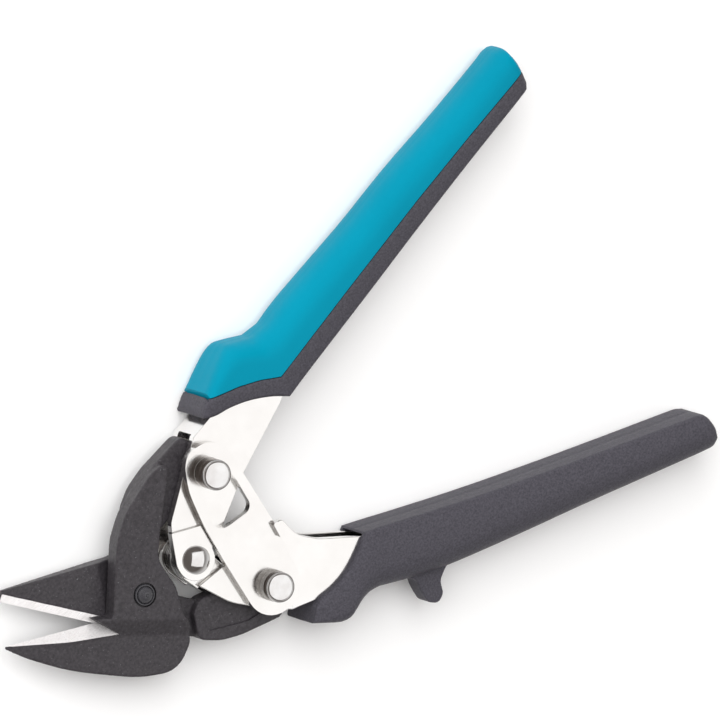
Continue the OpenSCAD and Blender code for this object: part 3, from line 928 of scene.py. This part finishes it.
def loft(name, rows, loop_of, flip, *materials):
    """Closed mesh through the (distance from the inner side, z) loops of the rows; flip mirrors it in y."""
    bm = bmesh.new()
    sign = -1 if flip else 1
    loops = []
    for row in rows:
        inner, outer = Vector(row[:2]), Vector(row[2:4])
        along = (outer - inner).normalized()
        loops.append([bm.verts.new(at(inner.x + along.x * u, sign * (inner.y + along.y * u), z))
                      for u, z in loop_of(row)])
    for a, b in zip(loops, loops[1:]):
        for k in range(len(a)):
            n = (k + 1) % len(a)
            bm.faces.new((a[k], a[n], b[n], b[k]))
    bm.faces.new(loops[0])
    bm.faces.new(loops[-1])
    bmesh.ops.remove_doubles(bm, verts=bm.verts, dist=1e-6)
    bmesh.ops.recalc_face_normals(bm, faces=bm.faces)
    return finished(bm, name, *materials)


def mirrored(points):
    """The lower half of a loop: the same points at negative heights, in reverse, without the middle ones."""
    return [(u, -z) for u, z in reversed(points) if abs(z) > 1e-6]


UPPER_KEYS = [
    Key((32.0, 26.6), (32.3, 27.5), 0.5, 1.5, 6.9, 6.6),
    Key((33.4, 25.7), (34.3, 29.4), 1.6, 2.4, 7.05, 6.6),
    Key((35.5, 25.1), (36.8, 31.1), 2.6, 3, 7.15, 6.6),
    Key((38.6, 24.7), (39.9, 33.2), 3.2, 3.4, 7.15, 6.5),
    Key((42.5, 23.7), (43.4, 35.3), 4, 4, 7.15, 6.5),
    Key((46, 22.3), (46, 36.2), 4.8, 4.8, 7.15, 6.5),
    Key((49.2, 20.6), (48.6, 35.5), 5.4, 5.2, 7.15, 6.5),
    Key((52.5, 18.3), (52.9, 33.8), 6.4, 5.6, 7.15, 6.4, corner=True),
    Key((52.5, 18.3), (57.6, 34.0), 6.8, 6, 7.15, 6.4, corner=True),
    Key((58.2, 20.1), (63.6, 36.1), 7, 6.3),
    Key((66, 22.5), (71.5, 38.1), 7, 6.4),
    Key((82, 27.4), (87, 41.9), 7, 6.5),
    Key((98, 32.4), (102, 46.1), 6.6, 6.5),
    Key((116, 37.8), (119, 50.1), 6.2, 6.4),
    Key((131.5, 42.2), (133, 53.8), 6, 6.2),
    Key((135.4, 43.3), (136.4, 54.7), 5.4, 5.8, 7.1, 6.1),
    Key((137.4, 43.9), (138.2, 54.4), 4.8, 5.2, 6.8, 5.9),
    Key((138.2, 44.8), (138.5, 53.2), 3.8, 4.4, 6.2, 5.4),
    Key((138.5, 46.2), (138.7, 51.6), 2.6, 3.6, 5.3, 4.7)]

LOWER_KEYS = [
    Key((33.4, 25.8), (30.3, 28.9), 0.7, 0.9, 6.9, 6.7),
    Key((35.5, 25.2), (33.9, 31.4), 1.6, 2, 7.1, 6.7),
    Key((38.7, 25), (36.8, 33.3), 2.6, 3, 7.15, 6.6),
    Key((41.5, 24.5), (39.2, 33.9), 3.2, 3.6, 7.15, 6.6),
    Key((44.4, 23.5), (41.4, 33.3), 4, 4.2, 7.15, 6.6),
    Key((47.2, 22), (43.8, 32.5), 5, 4.8, 7.15, 6.5),
    Key((49.8, 20.3), (46.6, 32.2), 5.8, 5.4, 7.15, 6.4),
    Key((51.9, 18.8), (49.4, 32.7), 6.6, 5.8, 7.15, 6.3, corner=True),
    Key((51.9, 18.8), (55, 35), 7.2, 6.2, 7.15, 6.2, corner=True),
    Key((57, 20.5), (60.6, 37), 7.8, 6.4, 7.15, 6.1),
    Key((64.5, 23.1), (68.4, 39.3), 8, 6.5, 7.15, 6),
    Key((80, 28.3), (84.5, 43), 8, 6.6, 7.15, 6),
    Key((98, 33.8), (102, 46.7), 7.6, 6.6, 7.15, 6),
    Key((116, 39), (119, 50.5), 7, 6.5, 7.15, 6),
    Key((131.5, 43.4), (132.6, 53.5), 6.4, 6.3),
    Key((134.8, 44.4), (135.2, 53.7), 5.6, 6, 7.1, 6.1),
    Key((136, 45.1), (136.4, 53), 4.8, 5.4, 6.8, 5.9),
    Key((136.6, 46.2), (136.9, 51.8), 3.8, 4.6, 6.2, 5.4),
    Key((136.9, 47.5), (137.1, 50.4), 2.6, 3.6, 5.3, 4.7)]

SEAM = [(33.6, 29.9), (35, 29.6), (37.6, 29), (42.8, 27.8), (47.8, 26.1), (52.7, 23.7),
        (76, 30.9), (101, 38.4), (120, 43.6), (141, 49)]
COVER_T = 1.3
COVER_END = 0.6                                      # least width of shell past the seam
SEAM_GAP = 0.09
LIP = 0.12                                           # rounding of the edges along the seam
COVER_POINTS, CORE_POINTS, STRIP_POINTS = 26, 30, 8


def seam_distance(row):
    """Where a station's line crosses the seam, in millimetres from its inner end."""
    inner, outer = Vector(row[:2]), Vector(row[2:4])
    along = outer - inner
    width = along.length
    for a, b in zip(SEAM, SEAM[1:]):
        step = Vector((b[0] - a[0], b[1] - a[1]))
        start = Vector(a) - inner
        across = along.x * step.y - along.y * step.x
        if abs(across) < 1e-9:
            continue
        t = (start.x * step.y - start.y * step.x) / across
        s = (start.x * along.y - start.y * along.x) / across
        if 0 <= s <= 1 and 0 < t < 1:
            return t * width
    return width


def row_section(row):
    inner, outer = Vector(row[:2]), Vector(row[2:4])
    return section((outer - inner).length, *row[4:8])


def cover_loop(row):
    """Loop of the teal shell: its outside from the seam round to the far seam, and back on its inside."""
    _, crossing, rest = split_section(row_section(row), seam_distance(row) + SEAM_GAP)
    rest = resampled([crossing, *rest], COVER_POINTS)
    lip_u, lip_z = rest[0]
    outer = [(lip_u, lip_z - COVER_T * 0.5), (lip_u, lip_z - LIP), (lip_u + LIP, lip_z)] + rest[1:]
    under = [(lip_u, lip_z - COVER_T)] + inset(rest, COVER_T)[2:]
    return outer + mirrored(outer) + [(u, -z) for u, z in under[:-1]] + list(reversed(under))


def core_loop(row):
    """Loop of the dark core: strip and covered part, or the whole section where there is no shell."""
    width = (Vector(row[2:4]) - Vector(row[:2])).length
    seam = seam_distance(row)
    points = row_section(row)
    if seam > width - COVER_END:
        top = points[:INNER_POINTS] + resampled(points[INNER_POINTS - 1:], CORE_POINTS)[1:]
        return top + mirrored(top)
    strip, crossing, rest = split_section(points, seam - SEAM_GAP)
    strip_edge = [(crossing[0] - 0.1, crossing[1]), (crossing[0], crossing[1] - LIP)]
    flat = resampled(strip[INNER_POINTS - 1:] + strip_edge, STRIP_POINTS)
    under = inset(resampled([crossing, *rest], CORE_POINTS - STRIP_POINTS + 1), COVER_T + 0.1)[1:]
    under[0] = (crossing[0], min(under[0][1], crossing[1] - 0.3))
    top = points[:INNER_POINTS] + flat[1:] + under
    return top + mirrored(top)


GRIP_SOCKET = [(27, 23.4, 0), (118, 47.2, 1), (118, 41.6, 1), (56, 22.4, 6), (50.2, 18.2, 0), (30, 16, 0)]
SOCKET_HALF = 5
GRIP_ANGLE = 38                                      # sharper turns than this stay sharp
STOP_HALF = 2.9

FINGER_STOP = [
    (55.4, -31, 1), (56.2, -35.2, 2), (58, -36.9, 1.4), (57.6, -40, 2), (57.8, -43, 1.5), (59.8, -44.7, 1.5),
    (62, -43.4, 1.4), (62.9, -40.4, 2.4), (65.6, -38.6, 3), (70, -37.4, 1), (70, -33, 1)]


def make_upper_grip():
    rows = stations(UPPER_KEYS)
    covered = [r for r in rows if seam_distance(r) < math.dist(r[:2], r[2:4]) - COVER_END]
    cover = loft("upper_grip_teal_cover", covered, cover_loop, False, "teal_plastic")
    smooth_shade(cover, GRIP_ANGLE)
    settle(cover, "upper_handle", "teal_plastic", "upper_grip_cover")
    core = loft("upper_grip_charcoal_core", rows, core_loop, False, "dark_plastic")
    combine(core, prism("socket", rounded(GRIP_SOCKET), -SOCKET_HALF, SOCKET_HALF), "DIFFERENCE")
    smooth_shade(core, GRIP_ANGLE)
    settle(core, "upper_handle", "dark_plastic", "upper_grip_core")


def grip_loop(row):
    top = row_section(row)
    return top + mirrored(top)


def make_lower_grip():
    grip = loft("lower_grip_moulding", stations(LOWER_KEYS), grip_loop, True, "dark_plastic")
    nub = prism("finger_stop", rounded(FINGER_STOP), -STOP_HALF, STOP_HALF)
    forge(nub, [], 0.25, 12)
    combine(grip, nub, "UNION")
    socket = prism("socket", rounded(flipped(GRIP_SOCKET)), -SOCKET_HALF, SOCKET_HALF)
    combine(grip, socket, "DIFFERENCE")
    smooth_shade(grip, GRIP_ANGLE)
    settle(grip, "lower_handle", "dark_plastic", "lower_grip")


# ---- spring

COIL_R = 3.75
WIRE_R = 0.37
COILS, COIL_START, COIL_STEPS = 4, 52, 150           # turns, where they start in degrees, and path steps
SPRING_LEG = [(33.6, 10.5), (37.4, 14.6), (39.4, 23.4)]
COIL_Z = max(local(v.co).z for v in frame["nodes"]["return_spring"].data.vertices) - WIRE_R


def tube(name, path, radius, *materials, sides=20):
    """Closed round wire along a path."""
    bm = bmesh.new()
    loops = []
    along = (path[1] - path[0]).normalized()
    across = along.cross(Vector((0, 0, 1))).normalized()
    for i, spot in enumerate(path):
        along = (path[min(i + 1, len(path) - 1)] - path[max(i - 1, 0)]).normalized()
        across = (across - along * across.dot(along)).normalized()
        over = along.cross(across)
        loops.append([bm.verts.new(at(*(spot + (across * math.cos(a) + over * math.sin(a)) * radius)))
                      for a in (2 * math.pi * k / sides for k in range(sides))])
    for a, b in zip(loops, loops[1:]):
        for k in range(sides):
            n = (k + 1) % sides
            bm.faces.new((a[k], a[n], b[n], b[k]))
    bm.faces.new(loops[0])
    bm.faces.new(loops[-1])
    bmesh.ops.recalc_face_normals(bm, faces=bm.faces)
    piece = finished(bm, name, *materials)
    smooth_shade(piece, 50)
    return piece


def make_spring():
    """Coils round the handle pivot with a leg along each handle."""
    start, steps = COIL_START, COIL_STEPS
    sweep = COILS * 360 - 2 * start
    coils = [HANDLE_PIVOT + Vector((COIL_R * math.cos(math.radians(start + sweep * i / steps)),
                                    COIL_R * math.sin(math.radians(start + sweep * i / steps)),
                                    COIL_Z * (2 * i / steps - 1)))
             for i in range(steps + 1)]
    leg_out = [Vector((x, y, COIL_Z)) for x, y in SPRING_LEG]
    leg_in = [Vector((x, -y, -COIL_Z)) for x, y in reversed(SPRING_LEG)]
    spring = tube("return_spring_wire", leg_in + coils + leg_out, WIRE_R, "spring_wire")
    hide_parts("return_spring")
    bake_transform(spring)


make_lower_blade()
make_upper_blade()
make_sheet_and_nut()
make_pins()
make_washers()
make_spring()
make_upper_grip()
make_lower_grip()

CAD_FINISH = {"spring_sleeve": "plain_washer",
              "upper_arm_spacers": "plain_washer", "lower_arm_spacers": "plain_washer"}

for name, finish in CAD_FINISH.items():
    frame["nodes"][name].data.materials.clear()
    frame["nodes"][name].data.materials.append(MATERIALS[finish])

add_camera()
add_light()
add_floor()
